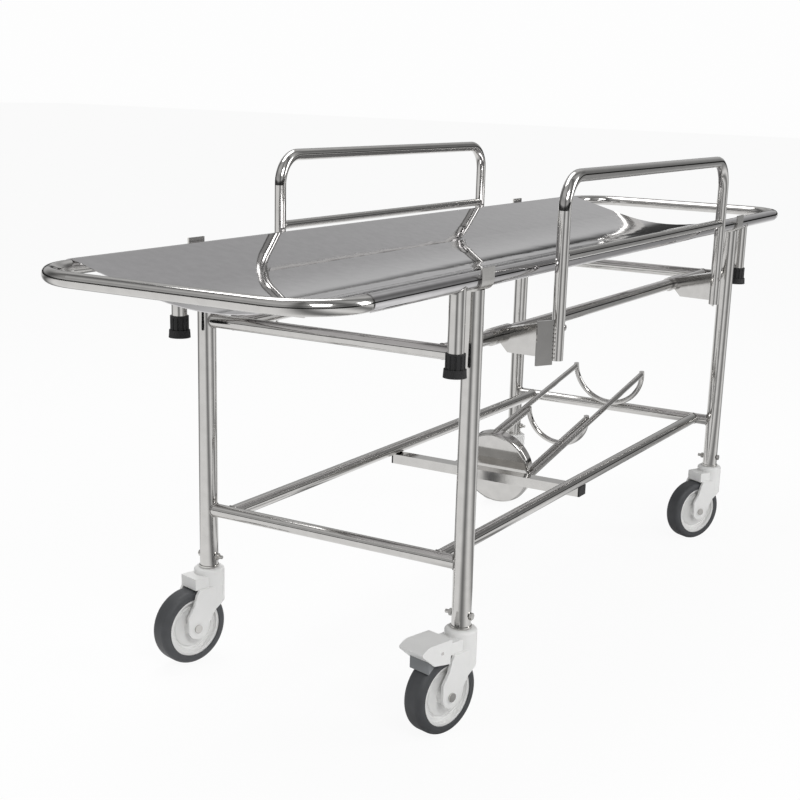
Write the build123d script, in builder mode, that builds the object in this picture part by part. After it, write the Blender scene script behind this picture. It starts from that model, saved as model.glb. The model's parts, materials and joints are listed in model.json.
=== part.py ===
from build123d import *
from math import cos, hypot, radians, sin, sqrt, tan
import os

os.makedirs("parts", exist_ok=True)

# Stretcher trolley: a tube undercarriage on four swivel casters, a lift-off
# stretcher, two fold-down side rails and a tilted bottle cradle.
# Millimetres. Z is up from the floor, X runs along the stretcher and the near side is -Y.
# The origin is on the floor under the middle of the stretcher.

# Stretcher
loop_half_length = 941.0      # tube axis, each way from the middle
loop_half_width = 244.0       # tube axis
loop_height = 678.3           # tube axis above the floor
loop_tube_d = 22.0
loop_tube_wall = 1.5
loop_corner_r = 90.0
sheet_t = 1.2
sheet_end_gap = 3.0           # from the sheet's end to the start of the loop's corner
sheet_drop = 37.0             # the sheet's middle below the tube axis
sheet_flank_angle = 15.0      # slope of the sheet beside the tubes, degrees
sheet_wrap_angle = 160.0      # how far the sheet goes round the tube from its top, degrees
foot_tube_d = 24.0
foot_tube_wall = 1.5
foot_half_spacing = 626.5     # along X, from the middle of the undercarriage
foot_low_z = 553.0
ferrule_low_z = 548.0
ferrule_height = 34.0
ferrule_wall = 2.4
ferrule_rim_d = 34.0
ferrule_rim_height = 12.0
ferrule_groove_count = 12

# Undercarriage
frame_mid_x = 11.0            # middle of the undercarriage from the stretcher's middle
leg_half_x = 566.7
leg_half_y = 238.0
leg_d = 30.0
leg_wall = 1.5
leg_low_z = 160.0
bar_d = 22.0
bar_wall = 1.5
low_bar_z = 255.6
high_bar_z = 568.6
long_bar_inset = 44.7         # long bars inboard of the legs
pivot_bar_inset = 49.4        # rail pivot bars inboard of the legs
saddle_t = 3.0
saddle_width = 38.0
saddle_tab_height = 18.5      # tab above the tube axis
saddle_inner_angle = 60.0     # saddle round the inner side of the tube, degrees below level
saddle_corner_r = 5.0

# Side rails
rail_y = 280.0
rail_half_spacing = 369.3     # posts each way from the rail's middle
rail_near_middle_x = 13.0     # where each rail stands along its pivot bar
rail_far_middle_x = 69.0
rail_tube_d = 20.0
rail_tube_wall = 1.5
rail_top_z = 814.2
rail_low_end_z = 537.0
rail_bend_r = 50.0
rail_low_bar_d = 15.0
rail_low_bar_wall = 1.2
rail_low_bar_z = 695.5
sleeve_length = 62.0
sleeve_wall = 2.5
sleeve_outboard = 17.0        # sleeve's middle outboard of the post's axis
arm_t = 2.5
arm_low_z = 545.0
arm_root_top_z = 580.0        # at the sleeve
arm_end_top_z = 600.0         # at the post
arm_root_in = 2.0             # side faces outboard of the post's axis, at the sleeve
arm_root_out = 28.0
arm_end_in = -8.0             # and at the post
arm_end_out = 31.0
arm_chamfer = 15.0
plate_t = 3.0
plate_low_z = 531.0
plate_high_z = 600.0
plate_outboard = 35.0         # plate's outboard edge from the post's axis
plate_edge_inset = 20.0       # that edge inboard of the rail's plane
plate_post_angle = 30.0       # where the plate meets the post, degrees from X

# Bottle cradle
cradle_tilt = 11.0            # degrees, rising toward +X
cup_x = -3.0                  # middle of the cup's floor, from the undercarriage's middle
cup_z = 237.0
cup_d = 144.0
cup_depth = 20.0
cup_t = 1.5
cup_edge_r = 6.0
rod_d = 11.0
low_hoop_distance = 284.0     # from the cup's floor along the cradle
cross_tube_x = -39.0
cross_tube_width = 28.0
cross_tube_height = 18.0
cross_tube_wall = 1.5
cross_tube_overhang = 2.0     # past the long bars' axes
cross_tube_cap_t = 3.0
cap_plug_length = 12.0
rod_foot_bend_r = 14.0
rod_foot_end_gap = 8.0        # rod foot's end short of the cross tube's end

# Casters
wheel_d = 125.0
tyre_width = 35.0
tyre_depth = 14.0
tyre_shoulder_r = 9.0
hub_rim_width = 30.0
hub_rim_t = 4.5
hub_disc_t = 8.0
hub_boss_d = 30.0
trail = 41.5                  # wheel axle behind the swivel axis
housing_r = 25.0
housing_wall = 5.0
housing_height = 156.0
housing_low_z = 98.0
housing_edge_r = 5.0
fork_end_r = 18.0
stub_length = 42.0
stub_low_z = 127.5
stub_high_z = 146.0
stub_corner_r = 5.0
stub_overlap = 3.0            # the stub's roof below the top of the fork arms
brake_lug_length = 73.0       # the stub's length where it carries a brake
wheel_space = 2.0
axle_d = 10.0
axle_head_d = 14.0
axle_head_t = 2.5
stem_pin_d = 16.0
stem_pin_length = 22.0
stem_plug_length = 42.0
swivel_ring_d = 33.0
stem_bolt_z = 176.0
stem_bolt_d = 6.0
stem_bolt_head_af = 10.0
stem_bolt_head_t = 4.0
stem_nut_t = 5.0
stem_bolt_tail = 12.0         # thread past the leg's inner side
pedal_t = 4.0
pedal_top_z = 155.0
pedal_root = 40.0             # from the swivel axis to the hood's root
pedal_flat_end = 86.0
pedal_tip = 106.0
pedal_tip_z = 146.0
pedal_cheek_low = (47.0, 117.0)
pedal_cheek_end = (80.0, 122.0)
pedal_pin_x = 64.0
pedal_pin_z = 138.0
pedal_pin_d = 5.0
pad_angle = 50.0              # pad round the tyre from level, degrees
pad_length = 20.0
pad_t = 7.0
pad_gap = 2.5                 # pad off the tyre while the brake is released

# Clearances
weld_gap = 0.1                # between welded tubes
running_gap = 0.05            # radial, shafts and sleeves
seat_gap = 0.3

# Derived places
loop_r = loop_tube_d / 2
bar_r = bar_d / 2
leg_r = leg_d / 2
rail_r = rail_tube_d / 2
rod_r = rod_d / 2
wheel_r = wheel_d / 2
wrap_r = loop_r + sheet_t + running_gap
saddle_r = wrap_r + seat_gap
leg_top_z = loop_height - saddle_r - saddle_t + 1.5
long_bar_y = leg_half_y - long_bar_inset
pivot_bar_y = leg_half_y - pivot_bar_inset
sheet_half_length = loop_half_length - loop_corner_r - sheet_end_gap
housing_half_width = tyre_width / 2 + wheel_space + housing_wall
sleeve_r = bar_r + running_gap + sleeve_wall
main_rod_y = cup_d / 2 + rod_r + weld_gap
inner_rod_y = cup_d / 2 - cup_t - rod_r - weld_gap
cross_tube_z = low_bar_z - bar_r - weld_gap - cross_tube_height / 2

SIDES = {"near": -1, "far": 1}
ENDS = {"left": -1, "right": 1}
CORNERS = {f"{s}_{e}": (SIDES[s], ENDS[e]) for e in ENDS for s in SIDES}
# Which way each wheel trails its leg, degrees from -X toward the far side
CASTER_TURN = {"near_left": 14.5, "far_left": 14.9, "near_right": 26.9, "far_right": 20.0}
BRAKED = ("near_left", "far_right")


def leg_place(corner):
    side, end = CORNERS[corner]
    return frame_mid_x + end * leg_half_x, side * leg_half_y


def write(builder, name, place=Location()):
    part = builder.part.moved(place)
    part.label = name
    export_step(part, f"parts/{name}.step")


def pipe(diameter, wall):
    """A tube's section, in the sketch that is open."""
    Circle(diameter / 2)
    Circle(diameter / 2 - wall, mode=Mode.SUBTRACT)


def cylinder_along(direction, point, radius, length, mode=Mode.SUBTRACT):
    """A solid cylinder centred on a point, along X, Y or Z, for fish-mouth cuts and bores."""
    turn = {"X": (0, 90, 0), "Y": (90, 0, 0), "Z": (0, 0, 0)}[direction]
    with Locations(Location(point, turn)):
        Cylinder(radius, length, mode=mode)


# Undercarriage frame

def build_leg(corner):
    side, end = CORNERS[corner]
    x, y = leg_place(corner)
    with BuildPart() as leg:
        with BuildSketch(Plane.XY.offset(leg_low_z)):
            with Locations((x, y)):
                pipe(leg_d, leg_wall)
        extrude(amount=leg_top_z - leg_low_z)
        cylinder_along("X", (x, side * loop_half_width, loop_height),
                       saddle_r + saddle_t + weld_gap, 2 * leg_d)
        cylinder_along("Y", (x, y, stem_bolt_z), stem_bolt_d / 2 + weld_gap, 2 * leg_d)
    write(leg, f"leg_{corner}")


def build_crossbar(end_name, level_name, z):
    x = frame_mid_x + ENDS[end_name] * leg_half_x
    with BuildPart() as bar:
        with BuildSketch(Plane.XZ.offset(-leg_half_y)):
            with Locations((x, z)):
                pipe(bar_d, bar_wall)
        extrude(amount=2 * leg_half_y)
        for side in SIDES.values():
            cylinder_along("Z", (x, side * leg_half_y, z), leg_r + weld_gap, 2 * bar_d)
    write(bar, f"crossbar_{level_name}_{end_name}")


def build_lengthwise_bar(name, y, z):
    with BuildPart() as bar:
        with BuildSketch(Plane.YZ.offset(frame_mid_x - leg_half_x)):
            with Locations((y, z)):
                pipe(bar_d, bar_wall)
        extrude(amount=2 * leg_half_x)
        for end in ENDS.values():
            cylinder_along("Y", (frame_mid_x + end * leg_half_x, y, z), bar_r + weld_gap, 2 * bar_d)
    write(bar, name)


def build_saddles():
    """A bent strip on each leg: a trough under the stretcher's tube and a tab outside it."""
    with BuildPart() as saddles:
        for corner, (side, end) in CORNERS.items():
            x, _ = leg_place(corner)
            with BuildSketch(Plane.YZ.offset(x - saddle_width / 2)):
                with Locations((side * loop_half_width, loop_height)):
                    Circle(saddle_r + saddle_t)
                    Circle(saddle_r, mode=Mode.SUBTRACT)
                    Rectangle(3 * saddle_r, 3 * saddle_r, mode=Mode.SUBTRACT,
                              align=(Align.CENTER, Align.MIN))
                    cut = radians(saddle_inner_angle)
                    reach = 3 * saddle_r
                    Polygon((0, 0), (-side * reach, 0), (-side * reach * cos(cut), -reach * sin(cut)),
                            align=None, mode=Mode.SUBTRACT)
                with Locations((side * (loop_half_width + saddle_r + saddle_t / 2), loop_height)):
                    Rectangle(saddle_t, saddle_tab_height, align=(Align.CENTER, Align.MIN))
            extrude(amount=saddle_width)
    write(saddles, "saddle_brackets")


# Stretcher

def build_loop():
    with BuildPart() as loop:
        with BuildLine(Plane.XY.offset(loop_height)) as path:
            FilletPolyline((loop_half_length, -loop_half_width), (loop_half_length, loop_half_width),
                           (-loop_half_length, loop_half_width), (-loop_half_length, -loop_half_width),
                           radius=loop_corner_r, close=True)
        with BuildSketch(Plane(origin=path.line @ 0, z_dir=path.line % 0)):
            pipe(loop_tube_d, loop_tube_wall)
        sweep(path=path.line)
    write(loop, "stretcher_loop")


def sheet_edge(offset):
    """Half of the sheet's section as (y, z) points from the middle out to the tube's top.

    The middle is an arc, the flank is straight and tangent to it and to the tube."""
    slope = radians(sheet_flank_angle)
    r = loop_r + running_gap + offset
    touch = (loop_half_width - r * sin(slope), loop_height + r * cos(slope))
    bottom = loop_height - sheet_drop - sheet_t + offset
    rise = touch[1] - bottom
    mid_r = (touch[0] * tan(slope) - rise) / (1 / cos(slope) - 1)
    joint = (mid_r * sin(slope), bottom + mid_r * (1 - cos(slope)))
    half = (mid_r * sin(slope / 2), bottom + mid_r * (1 - cos(slope / 2)))
    end_angle = radians(90 + sheet_flank_angle - (sheet_wrap_angle + sheet_flank_angle))
    mean = (radians(90 + sheet_flank_angle) + end_angle) / 2
    around = (loop_half_width + r * cos(mean), loop_height + r * sin(mean))
    end = (loop_half_width + r * cos(end_angle), loop_height + r * sin(end_angle))
    return (0, bottom), half, joint, touch, around, end


def build_sheet():
    """The lying surface: one sheet, troughed in the middle and rolled over both side tubes."""
    with BuildPart() as sheet:
        with BuildSketch(Plane.YZ.offset(-sheet_half_length)) as section:
            with BuildLine():
                ends = []
                for offset in (0, sheet_t):
                    low, half, joint, touch, around, end = sheet_edge(offset)
                    ThreePointArc(low, half, joint)
                    Line(joint, touch)
                    ThreePointArc(touch, around, end)
                    ends.append((low, end))
                Line(ends[0][0], ends[1][0])
                Line(ends[0][1], ends[1][1])
            make_face()
            mirror(about=Plane.YZ)
        extrude(amount=2 * sheet_half_length)
    write(sheet, "stretcher_sheet")


def build_foot_tubes():
    with BuildPart() as feet:
        for side in SIDES.values():
            for end in ENDS.values():
                x = frame_mid_x + end * foot_half_spacing
                y = side * loop_half_width
                with BuildSketch(Plane.XY.offset(foot_low_z)):
                    with Locations((x, y)):
                        pipe(foot_tube_d, foot_tube_wall)
                extrude(amount=loop_height - foot_low_z)
            cylinder_along("X", (frame_mid_x, side * loop_half_width, loop_height),
                           wrap_r + weld_gap, 3 * foot_half_spacing)
    write(feet, "stretcher_foot_tubes")


def build_ferrules():
    """Rubber feet: a ribbed socket on each foot tube above a wider tread."""
    bore_r = foot_tube_d / 2 + running_gap
    body_r = bore_r + ferrule_wall
    with BuildPart() as ferrules:
        for side in SIDES.values():
            for end in ENDS.values():
                x = frame_mid_x + end * foot_half_spacing
                y = side * loop_half_width
                with BuildSketch(Plane.XY.offset(ferrule_low_z)):
                    with Locations((x, y)):
                        Circle(ferrule_rim_d / 2)
                extrude(amount=ferrule_rim_height, taper=4)
                with BuildSketch(Plane.XY.offset(ferrule_low_z + ferrule_rim_height)):
                    with Locations((x, y)):
                        Circle(body_r)
                        with PolarLocations(body_r, ferrule_groove_count):
                            Circle(ferrule_wall / 2, mode=Mode.SUBTRACT)
                extrude(amount=ferrule_height - ferrule_rim_height - ferrule_wall)
                with BuildSketch(Plane.XY.offset(ferrule_low_z + ferrule_height - ferrule_wall)):
                    with Locations((x, y)):
                        Circle(body_r)
                extrude(amount=ferrule_wall)
                with BuildSketch(Plane.XY.offset(foot_low_z)):
                    with Locations((x, y)):
                        Circle(bore_r)
                extrude(amount=ferrule_height, mode=Mode.SUBTRACT)
    write(ferrules, "foot_ferrules")


# Side rails

def rail_post_x(side_name, end):
    middle = rail_near_middle_x if side_name == "near" else rail_far_middle_x
    return middle + end * rail_half_spacing


def build_rail_hoop(side_name):
    """The rail itself: one tube bent into an upturned U, with open lower ends."""
    left, right = rail_post_x(side_name, -1), rail_post_x(side_name, 1)
    with BuildPart() as hoop:
        with BuildLine(Plane.XZ.offset(-SIDES[side_name] * rail_y)) as path:
            FilletPolyline((left, rail_low_end_z), (left, rail_top_z), (right, rail_top_z),
                           (right, rail_low_end_z), radius=rail_bend_r)
        with BuildSketch(Plane(origin=path.line @ 0, z_dir=path.line % 0)):
            pipe(rail_tube_d, rail_tube_wall)
        sweep(path=path.line)
    write(hoop, f"rail_hoop_{side_name}")


def build_rail_low_bar(side_name):
    y = SIDES[side_name] * rail_y
    left, right = rail_post_x(side_name, -1), rail_post_x(side_name, 1)
    with BuildPart() as bar:
        with BuildSketch(Plane.YZ.offset(left)):
            with Locations((y, rail_low_bar_z)):
                pipe(rail_low_bar_d, rail_low_bar_wall)
        extrude(amount=right - left)
        for x in (left, right):
            cylinder_along("Z", (x, y, rail_low_bar_z), rail_r + weld_gap, 3 * rail_low_bar_d)
    write(bar, f"rail_low_bar_{side_name}")


def build_rail_sleeves(side_name):
    with BuildPart() as sleeves:
        for end in ENDS.values():
            middle = rail_post_x(side_name, end) + end * sleeve_outboard
            with BuildSketch(Plane.YZ.offset(middle - sleeve_length / 2)):
                with Locations((SIDES[side_name] * pivot_bar_y, high_bar_z)):
                    Circle(sleeve_r)
                    Circle(bar_r + running_gap, mode=Mode.SUBTRACT)
            extrude(amount=sleeve_length)
    write(sleeves, f"rail_sleeves_{side_name}")


def plate_line(side_name, end, inset):
    """The bracket plate's inner face in plan, moved inboard by inset: edge and post ends."""
    side = SIDES[side_name]
    touch = radians(plate_post_angle)
    near = (rail_r * cos(touch), rail_y - rail_r * sin(touch))
    edge = (plate_outboard, rail_y - plate_edge_inset)
    run = hypot(edge[0] - near[0], edge[1] - near[1])
    out = ((near[1] - edge[1]) / run, (edge[0] - near[0]) / run)
    x = rail_post_x(side_name, end)
    return [(x + end * (o - inset * out[0]), side * (y - inset * out[1])) for o, y in (edge, near)]


def build_rail_arms(side_name):
    """Folded channels, open below, from the sleeves out to the plates and the posts."""
    side = SIDES[side_name]
    root_y = pivot_bar_y + sleeve_r / 2
    stations = ((root_y, arm_root_in, arm_root_out, arm_root_top_z),
                (rail_y, arm_end_in, arm_end_out, arm_end_top_z))
    with BuildPart() as arms:
        for end in ENDS.values():
            post = rail_post_x(side_name, end)
            for y, inner, outer, top in stations:
                outline = ((inner, arm_low_z), (inner, top), (outer, top), (outer, arm_low_z),
                           (outer - arm_t, arm_low_z), (outer - arm_t, top - arm_t),
                           (inner + arm_t, top - arm_t), (inner + arm_t, arm_low_z))
                with BuildSketch(Plane.XZ.offset(-side * y)):
                    Polygon(*[(post + end * o, z) for o, z in outline], align=None)
            loft(ruled=True)
        for end in ENDS.values():
            post = rail_post_x(side_name, end)
            edge, near = plate_line(side_name, end, weld_gap)
            far = side * (rail_y + 3 * rail_r)
            with BuildSketch(Plane.XY.offset(plate_low_z)):
                Polygon((edge[0] + 0.0, edge[1]), near, (post, side * rail_y),
                        (post - end * 3 * rail_r, side * rail_y), (post - end * 3 * rail_r, far),
                        (edge[0], far), align=None)
            extrude(amount=plate_high_z - plate_low_z + sleeve_length, mode=Mode.SUBTRACT)
            cylinder_along("Z", (post, side * rail_y, plate_high_z), rail_r + weld_gap, sleeve_length * 3)
            cylinder_along("X", (post, side * pivot_bar_y, high_bar_z), sleeve_r + weld_gap,
                           sleeve_length * 3)
        with BuildSketch(Plane.YZ) as corner:
            Polygon((side * (root_y - 1), arm_low_z - 1),
                    (side * (root_y + arm_chamfer), arm_low_z - 1),
                    (side * (root_y - 1), arm_low_z + arm_chamfer), align=None)
        extrude(amount=leg_half_x, both=True, mode=Mode.SUBTRACT)
    write(arms, f"rail_arms_{side_name}")


def build_bracket_plates(side_name):
    side = SIDES[side_name]
    with BuildPart() as plates:
        for end in ENDS.values():
            edge, near = plate_line(side_name, end, 0)
            edge_out, near_out = plate_line(side_name, end, -plate_t)
            with BuildSketch(Plane.XY.offset(plate_low_z)):
                Polygon(edge, near, near_out, edge_out, align=None)
            extrude(amount=plate_high_z - plate_low_z)
            cylinder_along("Z", (rail_post_x(side_name, end), side * rail_y, plate_low_z),
                           rail_r + weld_gap, 3 * (plate_high_z - plate_low_z))
    write(plates, f"rail_bracket_plates_{side_name}")


# Bottle cradle

def along_cradle(distance, y, drop=0.0):
    """A point on the cradle: distance up from the cup's floor, y sideways, drop square below."""
    tilt = radians(cradle_tilt)
    return (frame_mid_x + cup_x + distance * cos(tilt) + drop * sin(tilt), y,
            cup_z + distance * sin(tilt) - drop * cos(tilt))


def cradle_plane(distance):
    tilt = radians(cradle_tilt)
    return Plane(origin=along_cradle(distance, 0), x_dir=(0, 1, 0), z_dir=(cos(tilt), 0, sin(tilt)))


def high_hoop_distance():
    """Where the upper hoop's lowest point comes to lie against the right low crossbar."""
    tilt = radians(cradle_tilt)
    base = along_cradle(0, 0, main_rod_y)
    bar_x, bar_z = frame_mid_x + leg_half_x, low_bar_z
    along = (bar_x - base[0]) * cos(tilt) + (bar_z - base[2]) * sin(tilt)
    across = (bar_z - base[2]) * cos(tilt) - (bar_x - base[0]) * sin(tilt)
    return along - sqrt((bar_r + rod_r + weld_gap) ** 2 - across ** 2)


def build_cross_tube():
    half = long_bar_y + cross_tube_overhang
    x = frame_mid_x + cross_tube_x
    with BuildPart() as tube:
        with BuildSketch(Plane.XZ.offset(-half)):
            with Locations((x, cross_tube_z)):
                Rectangle(cross_tube_width, cross_tube_height)
                Rectangle(cross_tube_width - 2 * cross_tube_wall,
                          cross_tube_height - 2 * cross_tube_wall, mode=Mode.SUBTRACT)
        extrude(amount=2 * half)
    write(tube, "cradle_cross_tube")
    with BuildPart() as caps:
        for side in SIDES.values():
            with BuildSketch(Plane.XZ.offset(-side * (half + weld_gap))):
                with Locations((x, cross_tube_z)):
                    Rectangle(cross_tube_width, cross_tube_height)
            extrude(amount=-side * cross_tube_cap_t)
            with BuildSketch(Plane.XZ.offset(-side * (half + weld_gap))):
                with Locations((x, cross_tube_z)):
                    Rectangle(cross_tube_width - 2 * (cross_tube_wall + weld_gap),
                              cross_tube_height - 2 * (cross_tube_wall + weld_gap))
            extrude(amount=side * cap_plug_length)
    write(caps, "cross_tube_caps")


def build_cradle_rods():
    """Two long outer rods with feet turned out along the cross tube, two short inner ones."""
    foot_x = frame_mid_x + cross_tube_x + cross_tube_width / 2 + rod_r + weld_gap
    back = (foot_x - along_cradle(0, 0)[0]) / cos(radians(cradle_tilt))
    foot_y = long_bar_y + cross_tube_overhang - rod_foot_end_gap
    foot_z = along_cradle(back, 0)[2]
    with BuildPart() as rods:
        for side in SIDES.values():
            y = side * main_rod_y
            with BuildLine() as path:
                FilletPolyline((foot_x, side * foot_y, foot_z), along_cradle(back, y),
                               along_cradle(high_hoop_distance() - rod_r - weld_gap, y),
                               radius=rod_foot_bend_r)
            with BuildSketch(Plane(origin=path.line @ 0, z_dir=path.line % 0)):
                Circle(rod_r)
            sweep(path=path.line)
            y = side * inner_rod_y
            with BuildSketch(cradle_plane(cup_t + cup_edge_r)):
                with Locations((y, 0)):
                    Circle(rod_r)
            extrude(amount=low_hoop_distance - rod_r - weld_gap - cup_t - cup_edge_r)
    write(rods, "cradle_rods")


def build_cradle_hoops():
    """Half rings hanging below the rods' ends, for the bottle to lie in."""
    with BuildPart() as hoops:
        for distance, r in ((low_hoop_distance, inner_rod_y), (high_hoop_distance(), main_rod_y)):
            plane = cradle_plane(distance)
            with BuildLine(plane) as path:
                Line((-r, rod_r), (-r, 0))
                ThreePointArc((-r, 0), (0, -r), (r, 0))
                Line((r, 0), (r, rod_r))
            with BuildSketch(Plane(origin=path.line @ 0, z_dir=path.line % 0)):
                Circle(rod_r)
            sweep(path=path.line)
    write(hoops, "cradle_hoops")


def build_cup():
    with BuildPart() as cup:
        with BuildSketch(cradle_plane(0)):
            Circle(cup_d / 2)
        extrude(amount=cup_depth)
        floor = cup.faces().sort_by(Axis(along_cradle(0, 0), cradle_plane(0).z_dir))[0]
        fillet(floor.edges(), radius=cup_edge_r)
        lip = cup.faces().sort_by(Axis(along_cradle(0, 0), cradle_plane(0).z_dir))[-1]
        offset(amount=-cup_t, openings=lip)
    write(cup, "bottle_cup")


# Casters, drawn with the swivel axis at the origin and the wheel toward +X

def caster_spot(corner):
    x, y = leg_place(corner)
    return Location((x, y, 0), (0, 0, 180 - CASTER_TURN[corner]))


def build_stems():
    """Plug in the leg, ring under it and swivel pin, turned in one piece."""
    ring_r = swivel_ring_d / 2
    plug_r = leg_r - leg_wall - running_gap
    pin_r = stem_pin_d / 2
    with BuildPart() as stems:
        for corner in CORNERS:
            with Locations((*leg_place(corner), 0)):
                with Locations((0, 0, leg_low_z - weld_gap)):
                    Cylinder(plug_r, stem_plug_length, align=(Align.CENTER, Align.CENTER, Align.MIN))
                    Cylinder(ring_r, leg_low_z - weld_gap - housing_height - seat_gap,
                             align=(Align.CENTER, Align.CENTER, Align.MAX))
                    Cylinder(pin_r, stem_pin_length, align=(Align.CENTER, Align.CENTER, Align.MAX))
                with Locations(Location((0, 0, stem_bolt_z), (90, 0, 0))):
                    Cylinder(stem_bolt_d / 2 + weld_gap, leg_d, mode=Mode.SUBTRACT)
    write(stems, "caster_stems")


def build_stem_bolts():
    with BuildPart() as bolts:
        for corner, (side, _) in CORNERS.items():
            x, y = leg_place(corner)
            with BuildSketch(Plane.XZ.offset(-(y + side * (leg_r + weld_gap)))):
                with Locations((x, stem_bolt_z)):
                    RegularPolygon(stem_bolt_head_af / 2, 6, major_radius=False)
            extrude(amount=-side * stem_bolt_head_t)
            with BuildSketch(Plane.XZ.offset(-(y + side * (leg_r + weld_gap)))):
                with Locations((x, stem_bolt_z)):
                    Circle(stem_bolt_d / 2)
            extrude(amount=side * (leg_d + weld_gap + stem_bolt_tail))
    write(bolts, "stem_bolts")
    with BuildPart() as nuts:
        for corner, (side, _) in CORNERS.items():
            x, y = leg_place(corner)
            with BuildSketch(Plane.XZ.offset(-(y - side * (leg_r + weld_gap)))):
                with Locations((x, stem_bolt_z)):
                    RegularPolygon(stem_bolt_head_af / 2, 6, major_radius=False)
                    Circle(stem_bolt_d / 2 + weld_gap, mode=Mode.SUBTRACT)
            extrude(amount=side * stem_nut_t)
    write(nuts, "stem_nuts")


def fork_outline():
    """One fork arm from the side: rear edge, round end about the axle, front edge."""
    end = (trail, wheel_r)
    rear = radians(-15)
    front = radians(210)
    round_start = (end[0] + fork_end_r * cos(rear), end[1] + fork_end_r * sin(rear))
    round_end = (end[0] + fork_end_r * cos(front), end[1] + fork_end_r * sin(front))
    Polyline((stub_length - stub_corner_r, stub_low_z), (stub_length, stub_low_z - 8),
             (stub_length + 6, stub_low_z - 26), (trail + fork_end_r, wheel_r + 22), round_start)
    ThreePointArc(round_start, (end[0], end[1] - fork_end_r), round_end)
    Polyline(round_end, (trail - 26, wheel_r + 10), (7, wheel_r + 24), (-9, housing_low_z),
             (-9, stub_low_z), (stub_length - stub_corner_r, stub_low_z))


def build_housing(corner):
    """White moulded fork: round turret over the swivel pin, stub over the wheel, two arms."""
    stub = brake_lug_length if corner in BRAKED else stub_length
    wheel_half = housing_half_width - housing_wall
    with BuildPart() as housing:
        with BuildSketch(Plane.XY.offset(housing_low_z)):
            Circle(housing_r)
        extrude(amount=housing_height - housing_low_z)
        fillet(housing.edges().sort_by(Axis.Z)[-1], radius=housing_edge_r)
        with BuildSketch(Plane.XZ.offset(-wheel_half)):
            with Locations((0, stub_low_z - stub_overlap)):
                Rectangle(stub, stub_high_z - stub_low_z + stub_overlap,
                          align=(Align.MIN, Align.MIN))
        extrude(amount=2 * wheel_half)
        for w in (wheel_half + housing_wall, -wheel_half):
            with BuildSketch(Plane.XZ.offset(-w)):
                with BuildLine():
                    fork_outline()
                make_face()
            extrude(amount=housing_wall)
        with Locations(Location((trail, 0, wheel_r), (90, 0, 0))):
            Cylinder(wheel_r + wheel_space, 2 * wheel_half, mode=Mode.SUBTRACT)
            Cylinder(axle_d / 2 + weld_gap, 4 * housing_r, mode=Mode.SUBTRACT)
        with Locations((0, 0, housing_height)):
            Cylinder(stem_pin_d / 2 + running_gap, 2 * (stem_pin_length + seat_gap), mode=Mode.SUBTRACT)
        if corner in BRAKED:
            with Locations(Location((pedal_pin_x, 0, pedal_pin_z), (90, 0, 0))):
                Cylinder(pedal_pin_d / 2 + running_gap, 4 * housing_r, mode=Mode.SUBTRACT)
    write(housing, f"caster_housing_{corner}", caster_spot(corner))


def build_axle(corner):
    with BuildPart() as axle:
        with Locations(Location((trail, 0, wheel_r), (90, 0, 0))):
            Cylinder(axle_d / 2, 2 * housing_half_width)
            for z in (-1, 1):
                with Locations((0, 0, z * (housing_half_width + weld_gap + axle_head_t / 2))):
                    Cylinder(axle_head_d / 2, axle_head_t + 2 * weld_gap)
    write(axle, f"caster_axle_{corner}", caster_spot(corner))


def build_wheel(corner):
    """Hub turned from one section: rim, thin disc with a ring groove, long boss; tyre round it."""
    hub_r = wheel_r - tyre_depth
    boss_half = housing_half_width - housing_wall - seat_gap
    bore_r = axle_d / 2 + running_gap
    groove_r = hub_r - hub_rim_t - 8
    section = Plane(origin=(trail, 0, wheel_r), x_dir=(0, 1, 0), z_dir=(-1, 0, 0))
    with BuildPart() as hub:
        with BuildSketch(section):
            with Locations((0, hub_r - hub_rim_t)):
                Rectangle(hub_rim_width, hub_rim_t, align=(Align.CENTER, Align.MIN))
            with Locations((0, bore_r)):
                Rectangle(2 * boss_half, hub_boss_d / 2 - bore_r, align=(Align.CENTER, Align.MIN))
                Rectangle(hub_disc_t * 2, hub_r - bore_r - weld_gap, align=(Align.CENTER, Align.MIN))
            for x in (-hub_disc_t, hub_disc_t):
                with Locations((x, groove_r)):
                    Circle(2.5, mode=Mode.SUBTRACT)
        revolve(axis=Axis((trail, 0, wheel_r), (0, 1, 0)))
    write(hub, f"wheel_hub_{corner}", caster_spot(corner))
    with BuildPart() as tyre:
        with BuildSketch(section) as profile:
            with Locations((0, hub_r + weld_gap)):
                Rectangle(tyre_width, tyre_depth - weld_gap, align=(Align.CENTER, Align.MIN))
            fillet(profile.vertices().group_by(Axis.Y)[-1], radius=tyre_shoulder_r)
        revolve(axis=Axis((trail, 0, wheel_r), (0, 1, 0)))
    write(tyre, f"wheel_tyre_{corner}", caster_spot(corner))


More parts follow.
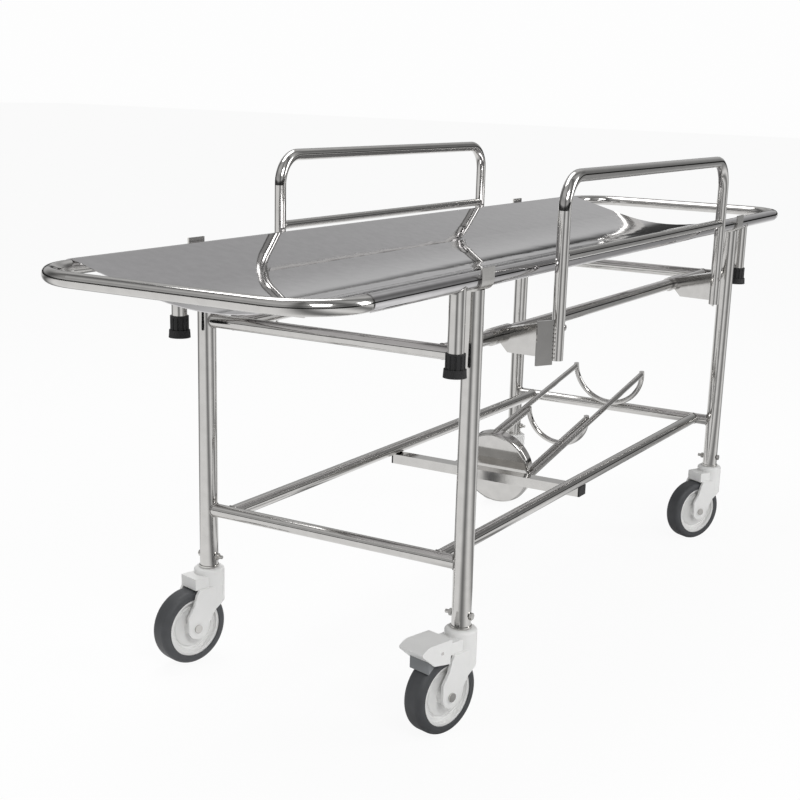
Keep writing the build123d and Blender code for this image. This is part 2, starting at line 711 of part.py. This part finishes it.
def build_pedal(corner):
    """Foot pedal: a hood over the stub with two cheeks, its tip out past the tyre."""
    outer_w = housing_half_width
    inner_w = housing_half_width - housing_wall + seat_gap * 2
    with BuildPart() as pedal:
        with BuildSketch(Plane.XZ.offset(-outer_w)):
            with BuildLine():
                Line((pedal_root + 7, stub_low_z - 6), (pedal_root + 4, stub_high_z))
                Line((pedal_root + 4, stub_high_z), (pedal_root + 4, pedal_top_z))
                Line((pedal_root + 4, pedal_top_z), (pedal_flat_end, pedal_top_z))
                ThreePointArc((pedal_flat_end, pedal_top_z), (pedal_flat_end + 12, pedal_top_z - 3),
                              (pedal_tip, pedal_tip_z))
                Line((pedal_tip, pedal_tip_z), (pedal_tip - 2, pedal_tip_z - pedal_t))
                Line((pedal_tip - 2, pedal_tip_z - pedal_t), pedal_cheek_end)
                Line(pedal_cheek_end, pedal_cheek_low)
                Line(pedal_cheek_low, (pedal_root + 7, stub_low_z - 6))
            make_face()
        extrude(amount=2 * outer_w)
        with BuildSketch(Plane.XZ.offset(-inner_w)):
            with BuildLine():
                Polyline((pedal_root - 1, pedal_cheek_low[1] - 10),
                         (pedal_root - 1, pedal_top_z - pedal_t),
                         (pedal_flat_end - 6, pedal_top_z - pedal_t),
                         (pedal_flat_end + 4, pedal_tip_z - 2),
                         (pedal_cheek_end[0] + 8, pedal_cheek_end[1] - 10),
                         (pedal_root - 1, pedal_cheek_low[1] - 10))
            make_face()
        extrude(amount=2 * inner_w, mode=Mode.SUBTRACT)
        with Locations(Location((pedal_pin_x, 0, pedal_pin_z), (90, 0, 0))):
            Cylinder(pedal_pin_d / 2 + weld_gap, 4 * outer_w, mode=Mode.SUBTRACT)
    write(pedal, f"brake_pedal_{corner}", caster_spot(corner))
    with BuildPart() as pin:
        with Locations(Location((pedal_pin_x, 0, pedal_pin_z), (90, 0, 0))):
            Cylinder(pedal_pin_d / 2, 2 * outer_w)
    write(pin, f"brake_pin_{corner}", caster_spot(corner))


def build_pad(corner):
    """Brake block, square to the tyre's tread, carried between the pedal's cheeks."""
    angle = radians(pad_angle)
    r = wheel_r + pad_gap
    middle = (trail + r * cos(angle), wheel_r + r * sin(angle))
    half_w = housing_half_width - housing_wall + seat_gap
    with BuildPart() as pad:
        with BuildSketch(Plane.XZ.offset(-half_w)):
            with Locations(Location((middle[0], middle[1], 0), (0, 0, pad_angle))):
                Rectangle(3 * pad_t, pad_length, align=(Align.MIN, Align.CENTER))
            with Locations((pedal_cheek_end[0] + pad_t, pedal_cheek_end[1])):
                Rectangle(2 * pad_length, 4 * pad_length, mode=Mode.SUBTRACT,
                          align=(Align.MIN, Align.CENTER))
        extrude(amount=2 * half_w)
        with Locations(Location((trail, 0, wheel_r), (90, 0, 0))):
            Cylinder(r, 4 * half_w, mode=Mode.SUBTRACT)
    write(pad, f"brake_pad_{corner}", caster_spot(corner))


for corner_name in CORNERS:
    build_leg(corner_name)
for end_name in ENDS:
    build_crossbar(end_name, "low", low_bar_z)
    build_crossbar(end_name, "high", high_bar_z)
for side_name, side_sign in SIDES.items():
    build_lengthwise_bar(f"long_bar_{side_name}", side_sign * long_bar_y, low_bar_z)
    build_lengthwise_bar(f"rail_pivot_bar_{side_name}", side_sign * pivot_bar_y, high_bar_z)
build_saddles()
build_loop()
build_sheet()
build_foot_tubes()
build_ferrules()
for side_name in SIDES:
    build_rail_hoop(side_name)
    build_rail_low_bar(side_name)
    build_rail_sleeves(side_name)
    build_rail_arms(side_name)
    build_bracket_plates(side_name)
build_cross_tube()
build_cradle_rods()
build_cradle_hoops()
build_cup()
build_stems()
build_stem_bolts()
for corner_name in CORNERS:
    build_housing(corner_name)
    build_axle(corner_name)
    build_wheel(corner_name)
for corner_name in BRAKED:
    build_pedal(corner_name)
    build_pad(corner_name)
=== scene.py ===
import bpy
import json
from math import cos, pi, radians, sin, sqrt
from mathutils import Matrix, Vector


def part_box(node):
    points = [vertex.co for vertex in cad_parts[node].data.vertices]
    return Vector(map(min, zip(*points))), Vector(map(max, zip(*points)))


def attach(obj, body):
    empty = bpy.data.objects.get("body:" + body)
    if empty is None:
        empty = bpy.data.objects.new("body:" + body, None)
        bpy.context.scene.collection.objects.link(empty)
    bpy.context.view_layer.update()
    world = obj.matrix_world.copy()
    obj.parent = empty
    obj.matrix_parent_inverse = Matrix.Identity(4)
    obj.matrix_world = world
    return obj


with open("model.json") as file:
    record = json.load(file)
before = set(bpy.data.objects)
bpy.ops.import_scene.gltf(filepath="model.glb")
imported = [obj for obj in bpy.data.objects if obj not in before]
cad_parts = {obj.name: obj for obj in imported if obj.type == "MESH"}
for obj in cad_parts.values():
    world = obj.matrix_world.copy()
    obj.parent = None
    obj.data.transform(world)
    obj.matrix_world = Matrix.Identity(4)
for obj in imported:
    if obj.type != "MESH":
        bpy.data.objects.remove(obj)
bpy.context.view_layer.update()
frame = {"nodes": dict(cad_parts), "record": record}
scene = bpy.context.scene

# Lengths are in metres. The near side is at negative Y and the left end at negative X
SIDES = {-1: "near", 1: "far"}
ENDS = {-1: "left", 1: "right"}


# Nodes of a material or of the world
def add(tree, kind, **settings):
    """A new node. A setting with an input's name sets that input, and any other sets the node."""
    made = tree.nodes.new(kind)
    for key, value in settings.items():
        if key in made.inputs:
            made.inputs[key].default_value = value
        else:
            setattr(made, key, value)
    return made


def noise(tree, scale, detail=4.0):
    """Noise over the piece, from 0 to 1, and finer as scale grows."""
    place = add(tree, "ShaderNodeTexCoord")
    made = add(tree, "ShaderNodeTexNoise", Scale=scale, Detail=detail)
    tree.links.new(place.outputs["Object"], made.inputs["Vector"])
    return made.outputs["Fac"]


def spread(tree, source, low, high, start=0.0, end=1.0):
    """Goes from low to high as source goes from start to end."""
    made = add(tree, "ShaderNodeMapRange")
    made.inputs["From Min"].default_value = start
    made.inputs["From Max"].default_value = end
    made.inputs["To Min"].default_value = low
    made.inputs["To Max"].default_value = high
    tree.links.new(source, made.inputs["Value"])
    return made.outputs["Result"]


def bump(tree, shader, source, height):
    """Shades the surface as if it rose by up to height where source is high."""
    made = add(tree, "ShaderNodeBump", Distance=height, Strength=1.0)
    tree.links.new(source, made.inputs["Height"])
    tree.links.new(made.outputs["Normal"], shader.inputs["Normal"])


def tint(tree, shader, source, low, high):
    """The shader's colour goes from low to high as source goes from 0 to 1."""
    made = add(tree, "ShaderNodeMix", data_type="RGBA", A=(*low, 1), B=(*high, 1))
    tree.links.new(source, made.inputs["Factor"])
    tree.links.new(made.outputs["Result"], shader.inputs["Base Color"])


def greys(tree, source, stops):
    """A grey that changes smoothly with source. Each stop is a value of source and its grey."""
    made = add(tree, "ShaderNodeValToRGB")
    made.color_ramp.interpolation = "EASE"
    elements = made.color_ramp.elements
    while len(elements) < len(stops):
        elements.new(0.5)
    for element, (place, grey) in zip(elements, stops):
        element.position = place
        element.color = (grey, grey, grey, 1)
    tree.links.new(source, made.inputs["Fac"])
    return made.outputs["Color"]


# Materials
def material(name, color, metallic, roughness):
    """A material with one finish all over, and its shader."""
    made = bpy.data.materials.new(name)
    made.use_nodes = True
    shader = made.node_tree.nodes["Principled BSDF"]
    shader.inputs["Base Color"].default_value = (*color, 1)
    shader.inputs["Metallic"].default_value = metallic
    shader.inputs["Roughness"].default_value = roughness
    return made, shader


def polished(name, color, roughness, wave_height=0.0):
    """Polished steel: cloudy in colour, uneven in gloss, and wavy where it is thin sheet."""
    dull_share = 0.93
    cloud_start, cloud_end = 0.35, 0.65
    glossiest, dullest = 0.7 * roughness, 1.4 * roughness
    made, shader = material(name, color, 1.0, roughness)
    tree = made.node_tree
    clouds = spread(tree, noise(tree, scale=60, detail=6), 0, 1, cloud_start, cloud_end)
    tint(tree, shader, clouds, tuple(dull_share * c for c in color), color)
    gloss = spread(tree, noise(tree, scale=240, detail=3), glossiest, dullest)
    tree.links.new(gloss, shader.inputs["Roughness"])
    if wave_height:
        bump(tree, shader, noise(tree, scale=9, detail=2), wave_height)
    return made


def moulded(name, color, roughness, grain_scale, grain_height):
    """Rubber or plastic with the fine grain of its mould, and its shader."""
    made, shader = material(name, color, 0.0, roughness)
    tree = made.node_tree
    bump(tree, shader, noise(tree, grain_scale, detail=3), grain_height)
    return made, shader


def black_rubber():
    """Ferrules and end caps, glossier in some patches than in others."""
    made, shader = moulded("black_rubber", (0.013, 0.013, 0.014), roughness=0.55,
                           grain_scale=900, grain_height=0.0001)
    tree = made.node_tree
    gloss = spread(tree, noise(tree, scale=80), low=0.45, high=0.68)
    tree.links.new(gloss, shader.inputs["Roughness"])
    return made


def tyre_grey():
    """Tyres, with patches of two dark greys."""
    made, shader = moulded("tyre_grey", (0.06, 0.063, 0.067), roughness=0.55,
                           grain_scale=700, grain_height=0.00008)
    tree = made.node_tree
    tint(tree, shader, noise(tree, scale=50), (0.05, 0.052, 0.056), (0.075, 0.078, 0.083))
    return made


def white_plastic():
    """The casters' housings, hubs and pedals, with patches of two whites."""
    made, shader = moulded("white_plastic", (0.83, 0.83, 0.82), roughness=0.35,
                           grain_scale=500, grain_height=0.00006)
    tree = made.node_tree
    tint(tree, shader, noise(tree, scale=30), (0.80, 0.80, 0.79), (0.86, 0.86, 0.85))
    return made


def pad_grey():
    """Brake pads."""
    made, shader = moulded("pad_grey", (0.25, 0.26, 0.27), roughness=0.6,
                           grain_scale=600, grain_height=0.0001)
    return made


mats = {
    "polished_tube": polished("polished_tube", (0.60, 0.59, 0.575), 0.09),
    "polished_sheet": polished("polished_sheet", (0.62, 0.61, 0.62), 0.05, wave_height=0.0004),
    "bright_steel": polished("bright_steel", (0.60, 0.59, 0.57), 0.16),
    "weld": polished("weld", (0.42, 0.41, 0.40), 0.32),
    "black_rubber": black_rubber(),
    "tyre_grey": tyre_grey(),
    "white_plastic": white_plastic(),
    "pad_grey": pad_grey(),
}
for part in frame["record"]["subparts"]:
    obj = frame["nodes"][part["node"]]
    obj.data.materials.clear()
    obj.data.materials.append(mats[part["material_slot"]])


# Shapes of the weld seams, weld dots and screw heads
def middle(name):
    """The middle of a CAD node's box."""
    low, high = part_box(name)
    return (low + high) / 2


def seam(place, axis, toward, radii, seed):
    """Points of a weld seam. One tube, along axis through place, has a second tube butted into
    it that leaves in the direction toward. The radii are the seam's distances from the axes of
    the first and the second tube."""
    steps = 28
    wobble_height = 0.00025
    fast_ripples, slow_ripples = 7, 3
    first_r, second_r = radii
    along = Vector(toward)
    up = Vector(axis)
    side = along.cross(up)
    points = []
    for step in range(steps):
        angle = 2 * pi * step / steps
        across = second_r * sin(angle)
        ripple = sin(fast_ripples * angle + seed) * sin(slow_ripples * angle + 2 * seed)
        reach = sqrt(first_r ** 2 - across ** 2) + wobble_height * ripple
        points.append(Vector(place) + along * reach + side * across
                      + up * (second_r * cos(angle)))
    return points


def upright_ring(centre, radius):
    """Points of a circle that faces along Y."""
    steps = 20
    angles = [2 * pi * step / steps for step in range(steps)]
    return [Vector(centre) + radius * Vector((cos(a), 0, sin(a))) for a in angles]


def beads(name, runs, body, bead_r=0.0013, closed=True):
    """One piece of round beads, each along its run of points."""
    curve = bpy.data.curves.new(name, "CURVE")
    curve.dimensions = "3D"
    curve.bevel_depth = bead_r
    curve.bevel_resolution = 2
    for run in runs:
        spline = curve.splines.new("POLY")
        spline.points.add(len(run) - 1)
        for point, place in zip(spline.points, run):
            point.co = (*place, 1)
        spline.use_cyclic_u = closed
    obj = bpy.data.objects.new(name, curve)
    scene.collection.objects.link(obj)
    curve.materials.append(mats["weld"])
    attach(obj, body)


# Weld seams of the undercarriage: crossbars into the legs, and long bars into the crossbars
leg_seam = (0.0155, 0.0113)
crossbar_seam = (0.0115, 0.0112)
runs = []
for sx, end in ENDS.items():
    for level in ("low", "high"):
        crossbar = middle(f"crossbar_{level}_{end}")
        for sy, side in SIDES.items():
            leg = middle(f"leg_{side}_{end}")
            place = (leg.x, leg.y, crossbar.z)
            runs.append(seam(place, (0, 0, 1), (0, -sy, 0), leg_seam, seed=sx + sy))
    for level, kind in (("low", "long_bar"), ("high", "rail_pivot_bar")):
        crossbar = middle(f"crossbar_{level}_{end}")
        for sy, side in SIDES.items():
            bar = middle(f"{kind}_{side}")
            place = (crossbar.x, bar.y, bar.z)
            runs.append(seam(place, (0, 1, 0), (-sx, 0, 0), crossbar_seam, seed=sx + 2 * sy))
beads("frame_welds", runs, "undercarriage")

# Weld seams of the stretcher: foot tubes into the loop
foot_tube_r = 0.012
loop_seam = (0.0128, 0.0122)
feet_low, feet_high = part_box("stretcher_foot_tubes")
foot_x = {-1: feet_low.x + foot_tube_r, 1: feet_high.x - foot_tube_r}
foot_y = {-1: feet_low.y + foot_tube_r, 1: feet_high.y - foot_tube_r}
loop_z = middle("stretcher_loop").z
runs = []
for sx in ENDS:
    for sy in SIDES:
        place = (foot_x[sx], foot_y[sy], loop_z)
        runs.append(seam(place, (1, 0, 0), (0, 0, -1), loop_seam, seed=sx - sy))
beads("stretcher_welds", runs, "stretcher")

# Weld seams of the side rails: low bars into the posts
post_r = 0.01
post_seam = (0.0104, 0.0077)


def posts(side):
    """Where the axes of a rail's two posts stand: X of each by its end, and their common Y."""
    low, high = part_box(f"rail_hoop_{side}")
    return {-1: low.x + post_r, 1: high.x - post_r}, (low.y + high.y) / 2


for side in SIDES.values():
    post_x, post_y = posts(side)
    low_bar_z = middle(f"rail_low_bar_{side}").z
    runs = []
    for sx in ENDS:
        place = (post_x[sx], post_y, low_bar_z)
        runs.append(seam(place, (0, 0, 1), (-sx, 0, 0), post_seam, seed=sx))
    beads(f"rail_welds_{side}", runs, f"side_rail_{side}", bead_r=0.001)

# Where a bracket plate meets its post: a screw head near the plate's top, and a row of short
# weld dots along each face of the plate
screw_head_r = 0.0032
screw_from_axis = (0.004, 0.0092)
screw_below_top = 0.012
plate_face_angles = (radians(24), radians(-2))
dot_count = 9
dot_pitch = 0.0062
dot_length = 0.0018
dots_above_bottom = 0.01
for sy, side in SIDES.items():
    post_x, post_y = posts(side)
    plate_low, plate_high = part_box(f"rail_bracket_plates_{side}")
    heads, dots = [], []
    for sx in ENDS:
        inboard, outboard = screw_from_axis
        place = (post_x[sx] - sx * inboard, post_y + sy * outboard, plate_high.z - screw_below_top)
        heads.append(upright_ring(place, screw_head_r))
        for angle in plate_face_angles:
            x = post_x[sx] + sx * post_r * cos(angle)
            y = post_y - sy * post_r * sin(angle)
            for dot in range(dot_count):
                z = plate_low.z + dots_above_bottom + dot_pitch * dot
                dots.append([(x, y, z), (x, y, z + dot_length)])
    beads(f"rail_screws_{side}", heads, f"side_rail_{side}", bead_r=0.0016)
    beads(f"rail_plate_welds_{side}", dots, f"side_rail_{side}", bead_r=0.0012, closed=False)

# Studio. ROUND gives the room's grey by the share of a turn round the trolley, where the dark
# stretches give the polished tubes their dark bands. RISE gives it by height, from the level
# of the horizon to straight up
ROUND = ((0.0, 1.0), (0.07, 0.2), (0.15, 1.0), (0.28, 0.22), (0.36, 1.0), (0.44, 0.3),
         (0.52, 1.0), (0.66, 1.0), (0.76, 0.15), (0.86, 1.0), (1.0, 1.0))
RISE = ((0.0, 0.05), (0.09, 0.07), (0.17, 0.72), (0.42, 0.58), (0.6, 0.85), (1.0, 0.65))
WHITE = (1, 1, 1, 1)


def all_round(tree, coordinate):
    """The room's grey on the side where a point lies, by that texture coordinate."""
    place = add(tree, "ShaderNodeTexCoord")
    turn = add(tree, "ShaderNodeTexGradient", gradient_type="RADIAL")
    tree.links.new(place.outputs[coordinate], turn.inputs["Vector"])
    return greys(tree, turn.outputs["Color"], ROUND)


def floor():
    """A floor that looks white to the camera, has the room's greys in reflections, and keeps
    the trolley's soft shadow."""
    glow_share = 0.93
    bpy.ops.mesh.primitive_plane_add(size=60, location=(0, 0, 0))
    plane = bpy.context.object
    plane.name = "floor"
    made, shader = material("floor", (0.9, 0.9, 0.9), 0.0, 0.9)
    tree = made.node_tree
    rays = add(tree, "ShaderNodeLightPath")
    grey = add(tree, "ShaderNodeMix", data_type="RGBA", B=WHITE)
    tree.links.new(rays.outputs["Is Camera Ray"], grey.inputs["Factor"])
    tree.links.new(all_round(tree, "Object"), grey.inputs["A"])
    glow = add(tree, "ShaderNodeEmission")
    tree.links.new(grey.outputs["Result"], glow.inputs["Color"])
    seen = rays.outputs["Is Camera Ray"]
    for kind in ("Is Glossy Ray", "Is Transmission Ray"):
        either = add(tree, "ShaderNodeMath", operation="MAXIMUM")
        tree.links.new(seen, either.inputs[0])
        tree.links.new(rays.outputs[kind], either.inputs[1])
        seen = either.outputs[0]
    share = add(tree, "ShaderNodeMath", operation="MULTIPLY")
    share.inputs[1].default_value = glow_share
    tree.links.new(seen, share.inputs[0])
    mix = add(tree, "ShaderNodeMixShader")
    tree.links.new(share.outputs[0], mix.inputs[0])
    tree.links.new(shader.outputs[0], mix.inputs[1])
    tree.links.new(glow.outputs[0], mix.inputs[2])
    tree.links.new(mix.outputs[0], tree.nodes["Material Output"].inputs["Surface"])
    plane.data.materials.append(made)


def room():
    """The world: white to the camera, and greys all round for light and reflections."""
    room_strength = 0.75
    round_share = 0.85
    white_strength = 0.985
    world = bpy.data.worlds.new("studio")
    scene.world = world
    world.use_nodes = True
    tree = world.node_tree
    place = add(tree, "ShaderNodeTexCoord")
    split = add(tree, "ShaderNodeSeparateXYZ")
    tree.links.new(place.outputs["Generated"], split.inputs[0])
    grey = add(tree, "ShaderNodeMix", data_type="RGBA", blend_type="MULTIPLY", Factor=round_share)
    tree.links.new(greys(tree, split.outputs["Z"], RISE), grey.inputs["A"])
    tree.links.new(all_round(tree, "Generated"), grey.inputs["B"])
    lit = tree.nodes["Background"]
    lit.inputs["Strength"].default_value = room_strength
    tree.links.new(grey.outputs["Result"], lit.inputs["Color"])
    white = add(tree, "ShaderNodeBackground", Color=WHITE, Strength=white_strength)
    rays = add(tree, "ShaderNodeLightPath")
    mix = add(tree, "ShaderNodeMixShader")
    tree.links.new(rays.outputs["Is Camera Ray"], mix.inputs[0])
    tree.links.new(lit.outputs[0], mix.inputs[1])
    tree.links.new(white.outputs[0], mix.inputs[2])
    tree.links.new(mix.outputs[0], tree.nodes["World Output"].inputs["Surface"])


def lamp(name, place, target, size, power):
    """A rectangular lamp that faces target. Its power is in watts."""
    data = bpy.data.lights.new(name, "AREA")
    data.shape = "RECTANGLE"
    data.size, data.size_y = size
    data.energy = power
    obj = bpy.data.objects.new(name, data)
    scene.collection.objects.link(obj)
    obj.location = place
    obj.rotation_euler = (Vector(target) - Vector(place)).to_track_quat("-Z", "Y").to_euler()


def camera():
    """The camera at the photograph's viewing angle, with its angles in radians."""
    yaw, pitch, roll = 0.510528, 0.261355, -0.0333568
    place = (-2.292873, -1.151113, 0.942003)
    image_px = 800
    focal_px = 1399.355
    centre_px = (431.757, 457.279)
    sensor_mm = 36
    forward = Vector((cos(yaw) * cos(pitch), sin(yaw) * cos(pitch), -sin(pitch)))
    level_right = Vector((sin(yaw), -cos(yaw), 0))
    level_down = forward.cross(level_right)
    right = cos(roll) * level_right + sin(roll) * level_down
    down = -sin(roll) * level_right + cos(roll) * level_down
    data = bpy.data.cameras.new("camera")
    data.sensor_width = sensor_mm
    data.lens = focal_px / image_px * sensor_mm
    data.shift_x = (image_px / 2 - centre_px[0]) / image_px
    data.shift_y = (centre_px[1] - image_px / 2) / image_px
    data.clip_end = 200
    obj = bpy.data.objects.new("camera", data)
    scene.collection.objects.link(obj)
    turn = Matrix((right, -down, -forward)).transposed().to_4x4()
    obj.matrix_world = Matrix.Translation(place) @ turn
    scene.camera = obj


floor()
room()
lamp("key", place=(-2.2, -2.6, 2.8), target=(0, 0, 0.6), size=(1.6, 1.2), power=60)
lamp("fill", place=(1.5, -3.0, 1.8), target=(0, 0, 0.5), size=(1.2, 1.8), power=30)
lamp("top", place=(0.2, 1.0, 3.2), target=(0, 0, 0.6), size=(2.4, 1.4), power=45)
camera()
scene.view_settings.view_transform = "Standard"
